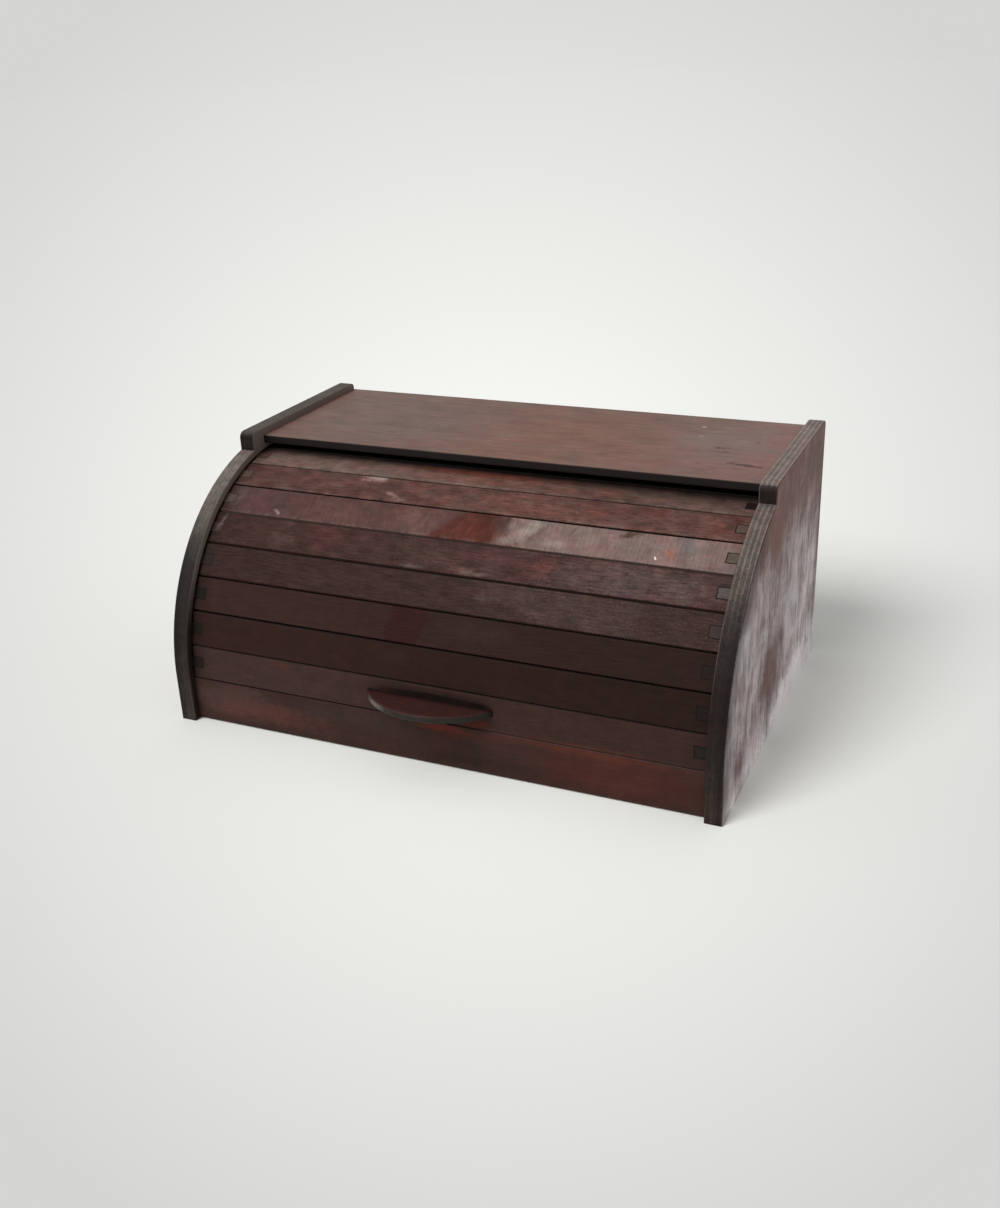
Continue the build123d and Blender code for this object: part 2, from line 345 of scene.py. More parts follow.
class Wires:
    """Adds nodes to a tree, with their settings, values and links in one call."""

    def __init__(self, tree):
        self.tree = tree

    def add(self, kind, feeds=None, **settings):
        node = self.tree.nodes.new(kind)
        for name, value in settings.items():
            setattr(node, name, value)
        self.feed(node, feeds or {})
        return node

    def feed(self, node, feeds):
        """Links values to a node's inputs, or sets constants on them."""
        for key, value in feeds.items():
            socket = node.inputs[key]
            if isinstance(value, Value):
                self.tree.links.new(value.socket, socket)
            else:
                socket.default_value = (*value, 1) if socket.type == "RGBA" else value

    def value(self, kind, feeds=None, output=0, **settings):
        """Adds a node and returns one of its outputs."""
        return Value(self, self.add(kind, feeds, **settings).outputs[output])

    def outputs(self, kind, feeds=None, **settings):
        """Adds a node and returns its outputs by name."""
        return {socket.name: Value(self, socket) for socket in self.add(kind, feeds, **settings).outputs}

    def math(self, kind, first, second=0.0, third=0.0):
        return self.value("ShaderNodeMath", {0: first, 1: second, 2: third}, operation=kind)

    def vector(self, kind, first, second=(0, 0, 0), output=0):
        return self.value("ShaderNodeVectorMath", {0: first, 1: second}, output, operation=kind)

    def parts(self, vector):
        return list(self.outputs("ShaderNodeSeparateXYZ", {0: vector}).values())

    def join(self, x=0.0, y=0.0, z=0.0):
        return self.value("ShaderNodeCombineXYZ", {0: x, 1: y, 2: z})


def interface_of(tree, inputs, outputs):
    """Makes a tree's sockets from {name: kind} and returns {name: identifier}."""
    names = {}
    for direction, sockets in (("INPUT", inputs), ("OUTPUT", outputs)):
        for name, kind in sockets.items():
            socket = tree.interface.new_socket(name, in_out=direction, socket_type="NodeSocket" + kind)
            names[name] = socket.identifier
    return names


def row_tree():
    """Tree that repeats a level blank round the curve and marks each point with its place and slat."""
    tree = bpy.data.node_groups.new("row_round_the_curve", "GeometryNodeTree")
    inputs = {"Blank": "Geometry", "Material": "Material", "Curve Centre": "Vector"}
    inputs |= dict.fromkeys(("Count", "Seed"), "Int")
    inputs |= dict.fromkeys(("First Angle", "Step Angle", "Face Distance", "Looseness"), "Float")
    names = interface_of(tree, inputs, {"Row": "Geometry"})
    wires = Wires(tree)
    given = wires.outputs("NodeGroupInput")
    x, y, z = wires.parts(wires.value("GeometryNodeInputPosition"))
    place = wires.join(x, z, y + given["Face Distance"])
    marked = wires.value(
        "GeometryNodeStoreNamedAttribute",
        {"Geometry": given["Blank"], "Name": "place", "Value": place},
        data_type="FLOAT_VECTOR",
        domain="POINT",
    )
    points = wires.value("GeometryNodePoints", {"Count": given["Count"], "Position": given["Curve Centre"]})
    index = wires.value("GeometryNodeInputIndex")
    angle = index * given["Step Angle"] + given["First Angle"]
    turn = wires.value("FunctionNodeEulerToRotation", {0: wires.join(angle * -1.0)})
    feeds = {"Points": points, "Instance": marked, "Rotation": turn}
    row = wires.value("GeometryNodeInstanceOnPoints", feeds)
    reach = wires.join(*[given["Looseness"]] * 3)
    shift = wires.value(
        "FunctionNodeRandomValue",
        {"Min": wires.vector("MULTIPLY", reach, (-1, -1, -1)), "Max": reach, "Seed": given["Seed"]},
        data_type="FLOAT_VECTOR",
    )
    feeds = {"Instances": row, "Translation": shift, "Local Space": True}
    loose = wires.value("GeometryNodeTranslateInstances", feeds)
    numbered = wires.value(
        "GeometryNodeStoreNamedAttribute",
        {"Geometry": loose, "Name": "slat", "Value": index + 1.0},
        data_type="FLOAT",
        domain="INSTANCE",
    )
    real = wires.value("GeometryNodeRealizeInstances", {"Geometry": numbered})
    finished = wires.value("GeometryNodeSetMaterial", {"Geometry": real, "Material": given["Material"]})
    wires.add("NodeGroupOutput", {0: finished})
    return tree, names


def row_of(name, blank, door, material):
    """Plain mesh of a blank repeated round the curve, as one piece."""
    tree, names = row_tree()
    piece = new_piece(name, blank)
    modifier = piece.modifiers.new("row", "NODES")
    modifier.node_group = tree
    half = half_pitch(door)
    values = {
        "Count": door.slat_count,
        "First Angle": half,
        "Step Angle": 2 * half,
        "Curve Centre": door.curve_centre,
        "Face Distance": door.face_distance,
        "Looseness": door.looseness,
        "Seed": door.seed,
        "Material": material,
    }
    for socket, value in values.items():
        modifier[names[socket]] = value
    return settled(piece)


def settled(piece):
    """Turns a piece's modifiers into plain mesh."""
    graph = bpy.context.evaluated_depsgraph_get()
    source = piece.evaluated_get(graph)
    mesh = bpy.data.meshes.new_from_object(source, preserve_all_data_layers=True, depsgraph=graph)
    piece.modifiers.clear()
    piece.data = mesh
    return piece


# Shader groups


class Paint(Wires):
    """Wires of a material, with what a finish needs."""

    def mix(self, share, first, second):
        feeds = {0: share, 6: first, 7: second}
        return self.value("ShaderNodeMix", feeds, 2, data_type="RGBA", clamp_factor=True)

    def noise(self, vector, scale, detail=3.0, roughness=0.5, distortion=0.0, output=0):
        feeds = {"Vector": vector, "Scale": scale, "Detail": detail, "Roughness": roughness}
        return self.value("ShaderNodeTexNoise", feeds | {"Distortion": distortion}, output)

    def group(self, tree, **feeds):
        feeds = {name.replace("_", " ").title(): value for name, value in feeds.items()}
        return self.outputs("ShaderNodeGroup", feeds, node_tree=tree)

    def object_place(self):
        return self.value("ShaderNodeTexCoord", output="Object")

    def attribute(self, name, output):
        return self.value("ShaderNodeAttribute", output=output, attribute_name=name)

    def relief(self, height, strength, distance):
        return self.value("ShaderNodeBump", {"Strength": strength, "Distance": distance, "Height": height})

    def facing(self, axis):
        """How far the surface faces along an axis."""
        return self.parts(self.value("ShaderNodeNewGeometry", output="Normal"))[axis]

    def faces(self, axis):
        """Mask of the faces that look one way or the other along an axis."""
        return abs(self.facing(axis)).between(0.6, 0.8)


def shader_group(name, vectors, numbers, outputs):
    """New shader group, as (tree, paint, its given values)."""
    tree = bpy.data.node_groups.new(name, "ShaderNodeTree")
    inputs = dict.fromkeys(vectors, "Vector") | dict.fromkeys(numbers, "Float")
    interface_of(tree, inputs, dict.fromkeys(outputs, "Float"))
    paint = Paint(tree)
    return tree, paint, paint.outputs("NodeGroupInput")


@cache
def grain_group():
    """Wood grain that runs along X: fine streaks, broad mottling, short dark pores and their relief."""
    numbers = ("Length", "Width", "Mottle", "Seed")
    outputs = ("Streaks", "Mottling", "Pores", "Height")
    tree, paint, given = shader_group("stained_grain", ["Place"], numbers, outputs)
    place = paint.parts(given["Place"])
    along = place[X] / given["Length"] + given["Seed"]
    across = place[Y] / given["Width"]
    deep = place[Z] / given["Width"]
    streaks = paint.noise(paint.join(along, across, deep), 1.0, detail=6, roughness=0.7, distortion=0.25)
    streaks = streaks.between(0.32, 0.68, smooth=False)
    blot = paint.join(*(part / given["Mottle"] + given["Seed"] for part in place))
    mottling = paint.noise(blot, 1.0, detail=5, roughness=0.65, distortion=0.3).between(0.36, 0.66)
    pores = paint.noise(paint.join(along * 4.0, across * 1.4, deep), 1.0, detail=2).between(0.6, 0.7)
    height = streaks - pores * 0.7
    paint.add("NodeGroupOutput", dict(zip(outputs, (streaks, mottling, pores, height))))
    return tree


@cache
def patch_group():
    """Soft-edged oval mask, for a worn or stained place, and for painted shadows and glows."""
    vectors = ("Place", "Centre", "Half Size")
    tree, paint, given = shader_group("wear_and_shade_patch", vectors, ["Turn", "Softness", "Ragged"], ["Mask"])
    feeds = {"Vector": paint.vector("SUBTRACT", given["Place"], given["Centre"]), "Angle": given["Turn"]}
    turned = paint.value("ShaderNodeVectorRotate", feeds, rotation_type="Z_AXIS")
    distance = paint.vector("LENGTH", paint.vector("DIVIDE", turned, given["Half Size"]), output="Value")
    uneven = (paint.noise(given["Place"], 260.0, detail=4, roughness=0.65) - 0.5) * given["Ragged"]
    distance = uneven * 3.0 + distance
    paint.add("NodeGroupOutput", {"Mask": distance.between(1.0 - given["Softness"], 1.0, 1.0, 0.0)})
    return tree


@cache
def ply_group():
    """Layers of plywood through its thickness: which plies run the other way, and the glue between them."""
    numbers = ("Depth", "Thickness", "Plies")
    tree, paint, given = shader_group("ply_layers", ["Place"], numbers, ["Cross Ply", "Glue"])
    wobble = (paint.noise(given["Place"], 45.0, detail=2) - 0.5) * 0.5
    layer = given["Depth"] / given["Thickness"] * given["Plies"] + wobble
    rough = paint.noise(given["Place"], 350.0, detail=4, roughness=0.7) - 0.5
    wave = rough * 1.6 + paint.math("SINE", layer * math.pi)
    glue = abs(wave).between(0.1, 0.35, 1.0, 0.0)
    paint.add("NodeGroupOutput", {"Cross Ply": wave.between(0.35, -0.35), "Glue": glue})
    return tree


# Parts of the finishes

WOOD_RELIEF = 0.2 * MM


def new_material(name):
    """Empty material and its paint."""
    material = bpy.data.materials.new(name)
    material.use_nodes = True
    material.node_tree.nodes.clear()
    return material, Paint(material.node_tree)


def coat(paint, colour, roughness, gloss, relief=None, metal=0.0):
    """Gives a material its Principled shader, with a relief where there is one."""
    feeds = {"Base Color": colour, "Roughness": roughness, "Specular IOR Level": gloss, "Metallic": metal}
    if relief:
        feeds["Normal"] = relief
    paint.add("ShaderNodeOutputMaterial", {0: paint.value("ShaderNodeBsdfPrincipled", feeds)})


def grain_of(paint, place, length, width, mottle, seed):
    """Grain with streaks of a length and width, and blots as large as mottle."""
    return paint.group(grain_group(), place=place, length=length, width=width, mottle=mottle, seed=seed)


def patch_mask(paint, place, x, y, half_length, half_width, ragged=0.3, turn=0, softness=0.9):
    """Mask of an oval place, with its middle and half sizes in mm and its turn in degrees."""
    return paint.group(
        patch_group(),
        place=place,
        centre=(x * MM, y * MM, 0),
        half_size=(half_length * MM, half_width * MM, 1),
        turn=-math.radians(turn),
        softness=softness,
        ragged=ragged,
    )["Mask"]


def patched(paint, place, colour, patches):
    """Colour with the worn places, painted shade and painted glow of a table laid over it."""
    for x, y, half_length, half_width, tone, strength, *edge in patches:
        mask = patch_mask(paint, place, x, y, half_length, half_width, *edge)
        colour = paint.mix(mask * strength, colour, stain(*tone))
    return colour


def scaled(paint, colour, factor):
    """Colour made lighter or darker by a factor."""
    return paint.value("ShaderNodeVectorMath", {0: colour, "Scale": factor}, operation="SCALE")


def blotched(paint, colour, place, size, strength):
    """Colour that wanders between light and dark and a little between red and grey, as old stain does."""
    blots = paint.noise(paint.vector("DIVIDE", place, size), 1.0, detail=4, roughness=0.6, output="Color")
    light, warm, _ = paint.parts(paint.vector("SUBTRACT", blots, (0.5, 0.5, 0.5)))
    light = light * strength + 1.0
    warm = warm * strength
    grey = warm * -0.22 + light
    return paint.vector("MULTIPLY", colour, paint.join(warm * 0.4 + light, grey, grey))


def grained(paint, colour, grain, contrast):
    """Colour with its streaks, blots and pores, lighter and darker by the contrast at most."""
    uneven = grain["Mottling"] * 0.4 + grain["Streaks"] - grain["Pores"] * 0.7
    return scaled(paint, colour, (uneven * 2.0 - 1.4) * contrast + 1.0)


def left_to_right(x, left, right):
    """Value that is one thing at the left of the box and another at the right."""
    return x.between(-0.1, 0.1, left, right)


def by_number(paint, number, values):
    """Value that belongs to a slat's number, from a list that starts with slat 1."""
    ramp = paint.add("ShaderNodeValToRGB", {0: (number - 0.5) / float(len(values))})
    ramp.color_ramp.interpolation = "CONSTANT"
    stops = ramp.color_ramp.elements
    while len(stops) < len(values):
        stops.new(1.0)
    for index, value in enumerate(values):
        stops[index].position = index / len(values)
        stops[index].color = (*value, 1)
    return Value(paint, ramp.outputs[0])


def amount_by_number(paint, number, values):
    """Amount that belongs to a slat's number, from a list that starts with slat 1."""
    top = max(values)
    return by_number(paint, number, [(value / top,) * 3 for value in values]) * top


def end_tones(paint, number, table):
    """Colours of a slat's left and right end, from a table of both."""
    return [by_number(paint, number, [stain(*tone) for tone in tones]) for tones in zip(*table)]


def ply_layers(paint, depth, thickness, plies, place):
    """Plies and glue lines at a depth below a board's face."""
    return paint.group(ply_group(), depth=depth, thickness=thickness, plies=plies, place=place)


def shaded_edge_colour(paint, finish, layers):
    """Colour of a plywood edge that faces the front, painted dark as shade, with its plies and glue lines.
    """
    return paint.mix(layers["Cross Ply"] * 0.4, finish.shaded_edge, finish.glue)


def finish_wood(paint, colour, grain, roughness, bump, gloss):
    """Gives a material its stained colour, a roughness that follows the grain and a fine relief."""
    uneven = grain["Streaks"].between(0, 1, roughness + 0.08, roughness - 0.06)
    coat(paint, colour, uneven, gloss, paint.relief(grain["Height"], bump, WOOD_RELIEF))


# Slats and runners

# Stain of each slat from the lowest up, near its left end and near its right end, with painted light: lower
# slats that face the front darker, upper slats that face up lighter, and slat 9 under the top board dark as
# painted shade
SLAT_STAINS_AND_LIGHT = (
    ((58, 41, 37), (53, 35, 31)),
    ((44, 26, 21), (36, 20, 14)),
    ((48, 28, 23), (36, 18, 13)),
    ((47, 26, 21), (50, 31, 27)),
    ((56, 35, 30), (68, 46, 43)),
    ((78, 56, 53), (92, 66, 61)),
    ((85, 58, 53), (91, 62, 56)),
    ((110, 90, 82), (84, 64, 57)),
    ((20, 16, 15), (18, 13, 12)),
)
# End grain of the runners from the lowest up, at the left end and at the right end, with the same painted
# light and shade as the slats
RUNNER_STAINS_AND_LIGHT = (
    ((30, 24, 22), (33, 29, 26)),
    ((24, 20, 14), (29, 22, 20)),
    ((20, 15, 15), (28, 19, 17)),
    ((36, 25, 22), (54, 42, 40)),
    ((58, 43, 41), (84, 75, 74)),
    ((80, 65, 61), (86, 78, 69)),
    ((84, 68, 59), (84, 70, 61)),
    ((74, 54, 49), (32, 21, 19)),
    ((16, 14, 11), (24, 17, 14)),
)
# Wear and painted light of each slat from the lowest up. A row gives the middle of a worn place or painted
# shade, from the middle of the face, its half sizes, its colour and strength, and at times its raggedness,
# turn and softness
SLAT_WEAR_AND_PAINTED_LIGHT = {
    1: (
        (-114, 9, 14, 3, (76, 42, 36), 0.5, 0.4),
        (110, -11, 80, 3, (78, 42, 33), 0.45),
        # Painted shadow on the slat just above the handle, in this row and the next two
        (0, 5, 60, 7, (26, 17, 15), 0.55, 0.1),
        (2, 4.8, 47, 3.2, (14, 9, 9), 0.7, 0.1, 0, 0.5),
        (37, 4.4, 11, 4.4, (11, 7, 7), 0.75, 0.2, 0, 0.8),
        # Painted reddish glow under the handle, its reflection on the slat
        (34, -9, 15, 4.4, (90, 36, 26), 0.8, 0.2, 12),
    ),
    2: ((-26, 4, 16, 8, (50, 36, 34), 0.35, 0.2),),
    3: (
        (-21, 2, 14.5, 40, (43, 13, 11), 0.85, 0.25, -14, 0.18),
        (30, 2, 34, 10, (52, 37, 33), 0.4, 0.3, 0, 0.8),
    ),
    4: (
        (78, 4, 74, 19, (66, 48, 43), 0.6, 0.3, -12, 0.4),
        (130, 6, 14, 7, (82, 64, 58), 0.4),
        (-70, 0, 60, 9, (62, 36, 31), 0.3, 0.4),
        (30, 1, 9, 5, (80, 62, 56), 0.5, 0.4),
        (66, -5, 10, 4, (80, 62, 58), 0.5, 0.4),
    ),
    5: (
        (-181.6, 5, 2.2, 10, (104, 86, 84), 0.8, 0.25, -17, 0.85),
        (-130, -1, 15, 12, (86, 62, 57), 0.45),
        (-12, -2, 13, 9, (88, 60, 54), 0.45),
        (10, -8, 13, 4, (104, 80, 74), 0.5, 0.4, 0, 0.95),
        (-128, 9, 7, 4, (84, 62, 58), 0.5),
        (-96, 3, 20, 16, (79, 43, 41), 0.6, 0.3, 0, 0.8),
        (-62, 2, 16, 12, (80, 50, 47), 0.4, 0.4),
        (-30, 2, 12, 12, (66, 50, 40), 0.5, 0.6),
        (26, 4, 26, 8, (80, 46, 45), 0.55, 0.5),
        (30, -1, 12, 6, (82, 60, 62), 0.5, 0.6, 20),
        (64, 1, 16, 10, (94, 49, 42), 0.6, 0.5, 30),
        (126, -1, 72, 16, (94, 76, 71), 0.5, 0.4, 0, 0.7),
        (104, 1, 26, 7, (62, 44, 42), 0.4, 0.6),
        (137, -5.5, 3.5, 2.6, (52, 33, 31), 0.7, 0.5, 30),
        (120, -9.5, 20, 3, (78, 64, 70), 0.6, 0.5, 4),
        (19, -9.5, 16, 2.2, (104, 92, 86), 0.45, 0.6, 2),
        (-26, -9.8, 12, 2, (92, 82, 76), 0.4, 0.6),
    ),
    6: (
        (-178, 3, 7, 14, (96, 80, 78), 0.6, 0.3, 0, 0.8),
        (-162, 0, 12, 14, (92, 62, 66), 0.5, 0.3, 0, 0.8),
        (-36, 0, 24, 18, (112, 82, 76), 0.6),
        (-95, 0, 50, 20, (100, 68, 62), 0.5),
        (-31, 2, 3, 12, (76, 54, 50), 0.5, 0.7, -30),
        (118, 0, 96, 40, (124, 103, 98), 0.9, 0.06, -9, 0.12),
        (47, 3, 8, 18, (150, 139, 129), 0.6, 0.12, -46, 0.95),
        (34, -7.5, 10, 6, (148, 132, 124), 0.6, 0.1, 0, 0.95),
        (66, -6, 14, 5, (146, 126, 121), 0.55, 0.2, 0, 0.95),
        (-4, -7.4, 13, 60, (84, 44, 35), 0.9, 0.3, -42, 0.35),
        (14, -4, 15, 15, (82, 42, 33), 0.9, 0.3, 0, 0.45),
        (17, 2, 8, 8, (72, 33, 27), 0.55, 0.3, 0, 0.8),
        (20, 4.5, 9, 6, (70, 36, 30), 0.6),
        (-3, -1, 2, 11, (104, 62, 48), 0.4, 0.5, -28),
        (6, -2, 2, 9, (98, 56, 44), 0.4, 0.5, -24),
        (16, 9.5, 22, 4.6, (62, 36, 31), 0.75, 0.4),
        (29, 7, 7, 9, (64, 42, 38), 0.8, 0.4, -16, 0.85),
        (27, -5, 4, 8, (104, 72, 64), 0.6, 0.5, -10),
        (56, 4, 3.5, 8, (96, 74, 70), 0.6, 0.5, -30),
        (49, -4, 6, 4, (100, 78, 74), 0.5, 0.5),
        (77, 6, 2, 5, (84, 68, 64), 0.6, 0.5, -20),
        (115, 8.5, 11, 4.5, (80, 57, 51), 0.95, 0.6, 22, 0.85),
        (90, 2, 12, 10, (122, 108, 98), 0.5, 0.5),
        (144, -2, 4.5, 8, (150, 98, 80), 0.7, 0.5, 24),
        (154, 4, 6.5, 18, (112, 98, 96), 0.6, 0.3, 12, 0.4),
        (174, -10, 14, 2.5, (92, 76, 72), 0.6, 0.6),
        (170, 0, 14, 12, (116, 96, 92), 0.5, 0.4),
        (183.5, -7.8, 3.4, 2.6, (118, 106, 107), 0.6, 0.3, 0, 0.3),
        (-142, -7, 1.8, 4.6, (150, 124, 120), 0.65, 0.25, 52, 0.95),
        (-140, -8.5, 1.6, 1.8, (164, 142, 138), 0.6, 0.2),
        (135.6, -7, 0.8, 1.9, (226, 218, 208), 0.9, 0.1, 32, 0.5),
        (110, 11.6, 100, 0.9, (26, 17, 15), 0.95, 0.04, 0, 0.6),
    ),
    7: (
        (-80, 10, 14, 6, (164, 142, 134), 0.7, 0.5, 6, 0.95),
        (-105, 2, 10, 8, (106, 74, 70), 0.5, 0.3, 0, 0.95),
        (-76, -5, 9, 6, (76, 46, 41), 0.6),
        (-36, 3, 34, 9, (104, 70, 63), 0.4),
        (-62, -5, 10, 2.6, (158, 132, 126), 0.55, 0.5, -22, 0.95),
        (-54, -9, 8, 3, (134, 112, 106), 0.5, 0.5, 0, 0.95),
        (30, -2, 70, 12, (110, 75, 66), 0.6, 0.5),
        (38, 8, 18, 5, (124, 86, 76), 0.5, 0.5, -10),
        (62, -8, 18, 5, (124, 82, 74), 0.55, 0.3, 0, 0.95),
        (88, -1, 9, 8, (128, 74, 60), 0.5, 0.5),
        (122, 6, 34, 6, (82, 48, 44), 0.6, 0.5),
        (168, 0, 8, 9, (112, 62, 48), 0.55, 0.5, 14),
        (178, 8, 9, 3, (66, 34, 28), 0.6, 0.7, -20),
    ),
    8: (
        (60, -6, 110, 8, (100, 64, 53), 0.4, 0.25),
        (88, 0, 14, 8, (112, 70, 60), 0.5, 0.6),
        (0, 5, 100, 6, (104, 50, 38), 0.35, 0.2),
        (-14, 6, 60, 6, (124, 62, 48), 0.5),
        (150, -7, 44, 7, (106, 88, 80), 0.55),
        (165, 8, 44, 7, (34, 25, 22), 0.4, 0.2),
        (184, -7, 4, 4, (120, 76, 76), 0.6, 0.4),
        # Painted shadow of the top board's front edge across the top of slat 8
        (0, 15, 900, 18, (7, 5, 5), 1, 0.04, 0, 0.85),
        (5, 4.5, 90, 5, (94, 46, 36), 0.3),
        (-20, -2, 110, 12, (122, 70, 58), 0.3),
    ),
}
# How strongly the grain of each slat shows, how far its stain wanders, and how light its edges are drawn in
# the gaps between slats, as painted light
SLAT_CONTRAST = (0.11, 0.1, 0.1, 0.24, 0.32, 0.16, 0.25, 0.22, 0.1)
SLAT_BLOTCHES = (0.6, 0.6, 0.6, 1.0, 1.3, 1.0, 1.6, 1.4, 0.5)
SLAT_GAP_LIGHT = (5.2, 4.0, 9.0, 10.0, 7.2, 13.0, 0.2, 1.0, 0.4)
# Slats with a look of their own, as the middle of their numbers and the reach to either side
CROSS_GRAIN_SLAT = (6.0, 0.1)
WORN_AND_HIGHLIGHTED_SLATS = (7.0, 1.6)
FLECKED_SLATS = (4.5, 0.6)
THIN_PLIES = 5.0


def slat_material(door, finish):
    """Stained plywood of the slats, each with its own tone and wear."""
    material, paint = new_material("slat_stained_plywood")
    place = paint.attribute("place", "Vector")
    number = paint.attribute("slat", "Fac")
    x, across, depth = paint.parts(place)
    cross = paint.math("COMPARE", number, *CROSS_GRAIN_SLAT)
    feeds = {0: cross, 4: place, 5: paint.join(across, x, depth)}
    turned = paint.value("ShaderNodeMix", feeds, 1, data_type="VECTOR")
    grain = grain_of(paint, turned, 0.014, 0.0013, 0.012, number * 7.31)
    colour = paint.mix(x.between(-0.16, 0.16), *end_tones(paint, number, SLAT_STAINS_AND_LIGHT))
    flat_place = paint.join(x, across)
    for slat, patches in SLAT_WEAR_AND_PAINTED_LIGHT.items():
        here = paint.math("COMPARE", number, float(slat), 0.1)
        colour = paint.mix(here, colour, patched(paint, flat_place, colour, patches))
    # Painted shade near the sides: the ends of the slats darkened, more at the left
    ends = abs(x).between(0.17, 0.187) * left_to_right(x, 0.5, 0.12)
    colour = paint.mix(ends, colour, stain(26, 16, 13))
    # Wear with a painted highlight: pale lower edges of slats 6 to 8
    upper = paint.math("COMPARE", number, *WORN_AND_HIGHLIGHTED_SLATS)
    rubbed_and_highlighted = across.between(-0.0085, -0.0112) * upper * 0.16 * grain["Mottling"]
    colour = paint.mix(rubbed_and_highlighted, colour, finish.worn_and_highlighted_edge)
    blotches = amount_by_number(paint, number, SLAT_BLOTCHES)
    colour = blotched(paint, colour, paint.join(x, across, number * 0.1), (0.012, 0.007, 0.01), blotches)
    flecked = paint.math("COMPARE", number, *FLECKED_SLATS) * x.between(0.0, 0.08, 0.0, 0.15)
    flecks = paint.noise(place, 900.0).between(0.54, 0.7) * flecked
    colour = paint.mix(flecks, colour, finish.worn_and_highlighted_edge)
    contrast = amount_by_number(paint, number, SLAT_CONTRAST) * x.between(-0.06, 0.04, 1.15, 1.35)
    colour = grained(paint, colour, grain, contrast)
    layers = shaded_edge_colour(paint, finish, ply_layers(paint, depth, door.slat_thickness, THIN_PLIES, place))
    # Painted light in the gaps: each slat's edges made lighter or darker by its own factor
    layers = scaled(paint, layers, amount_by_number(paint, number, SLAT_GAP_LIGHT))
    colour = paint.mix(depth.between(0.0007, 0.0011), colour, layers)
    finish_wood(paint, colour, grain, 0.5, 0.35, 0.08)
    return material


def runner_material(finish):
    """End grain of the runners, each end of each slat with its own tone, and dark glue round them."""
    material, paint = new_material("runner_end_grain")
    place = paint.attribute("place", "Vector")
    number = paint.attribute("slat", "Fac")
    x, across, _ = paint.parts(place)
    grain = grain_of(paint, place, 0.002, 0.0007, 0.004, number * 3.7)
    colour = paint.mix(x > 0.0, *end_tones(paint, number, RUNNER_STAINS_AND_LIGHT))
    # The pale place at the left end of slat 5 goes on over its runner
    fifth = paint.math("COMPARE", number, 5.0, 0.1)
    colour = paint.mix(fifth, colour, patched(paint, paint.join(x, across), colour, SLAT_WEAR_AND_PAINTED_LIGHT[5][:1]))
    colour = grained(paint, colour, grain, 0.3)
    rim = abs(across).between(0.0032, 0.0038)
    inner_end = abs(x).between(runner_low.x + 0.0008, runner_low.x + 0.0002)
    glued = paint.math("MAXIMUM", rim, inner_end) * left_to_right(x, 0.45, 1.0)
    colour = paint.mix(glued, colour, finish.glue)
    finish_wood(paint, colour, grain, 0.5, 0.3, 0.08)
    return material


# Sides

# Haze on the sides, bloom on the varnish together with a painted reflection, y and z in the frame of the
# box. A row gives the middle and half sizes of a place, how much more or less haze it has, and at times its
# turn and softness
SIDE_BLOOM_AND_SHEEN = (
    (-4, 56, 48, 52, -0.19, -14, 0.75),
    (-6, 40, 24, 28, -0.06, -10),
    (4, 128, 30, 34, -0.1),
    (-88, 26, 50, 18, -0.11),
    (-58, 66, 26, 34, 0.12, 20),
    (92, 72, 80, 66, 0.06, 0, 0.8),
    (66, -8, 150, 50, 0.62, 8, 0.8),
    (44, 6, 70, 26, 0.38, 6),
    (104, 8, 40, 18, 0.2),
    (110, 66, 20, 18, 0.16),
    (112, 120, 24, 26, -0.06),
    (-49, 38, 15, 22, -0.2),
    (138, 110, 14, 90, -0.24),
    (-9, 148, 20, 26, -0.2),
    (70, 130, 16, 14, -0.13),
    (-66, 122, 20, 20, -0.14),
    (-70, -4, 90, 24, 0.34, 0, 0.8),
)
# Redder and darker places on the sides, y and z in the frame of the box
SIDE_WEAR = (
    (-2, 146, 24, 40, (116, 71, 61), 0.85, 0.4, -20),
    (10, 172, 30, 14, (112, 70, 60), 0.6, 0.4),
    (122, 150, 16, 44, (98, 64, 59), 0.7, 0.4, -12),
    (110, 164, 40, 30, (96, 66, 62), 0.6),
    (-4, 52, 40, 44, (112, 86, 84), 0.4, 0.4, -14),
    (-40, 96, 1.3, 26, (88, 74, 72), 0.6, 0.8, -3, 0.8),
    (-30, 40, 1.3, 30, (80, 66, 64), 0.6, 0.8, 3, 0.8),
    (-36, 62, 1.2, 16, (176, 168, 168), 0.6, 0.6, -8, 0.8),
)
SIDE_PLIES = 7.0
BASE_BLOOM_AND_SHEEN = 0.34
# Above this height an edge of a side is its level top edge
TOP_EDGE_HEIGHT = 178 * MM
# Distances from the centre of the curve between which each shade on a side sets in
DARK_BORDER = (118 * MM, 138 * MM)
INNER_STRIP = (129 * MM, 134 * MM)
LIT_STRIP = (135.2 * MM, 136.6 * MM)


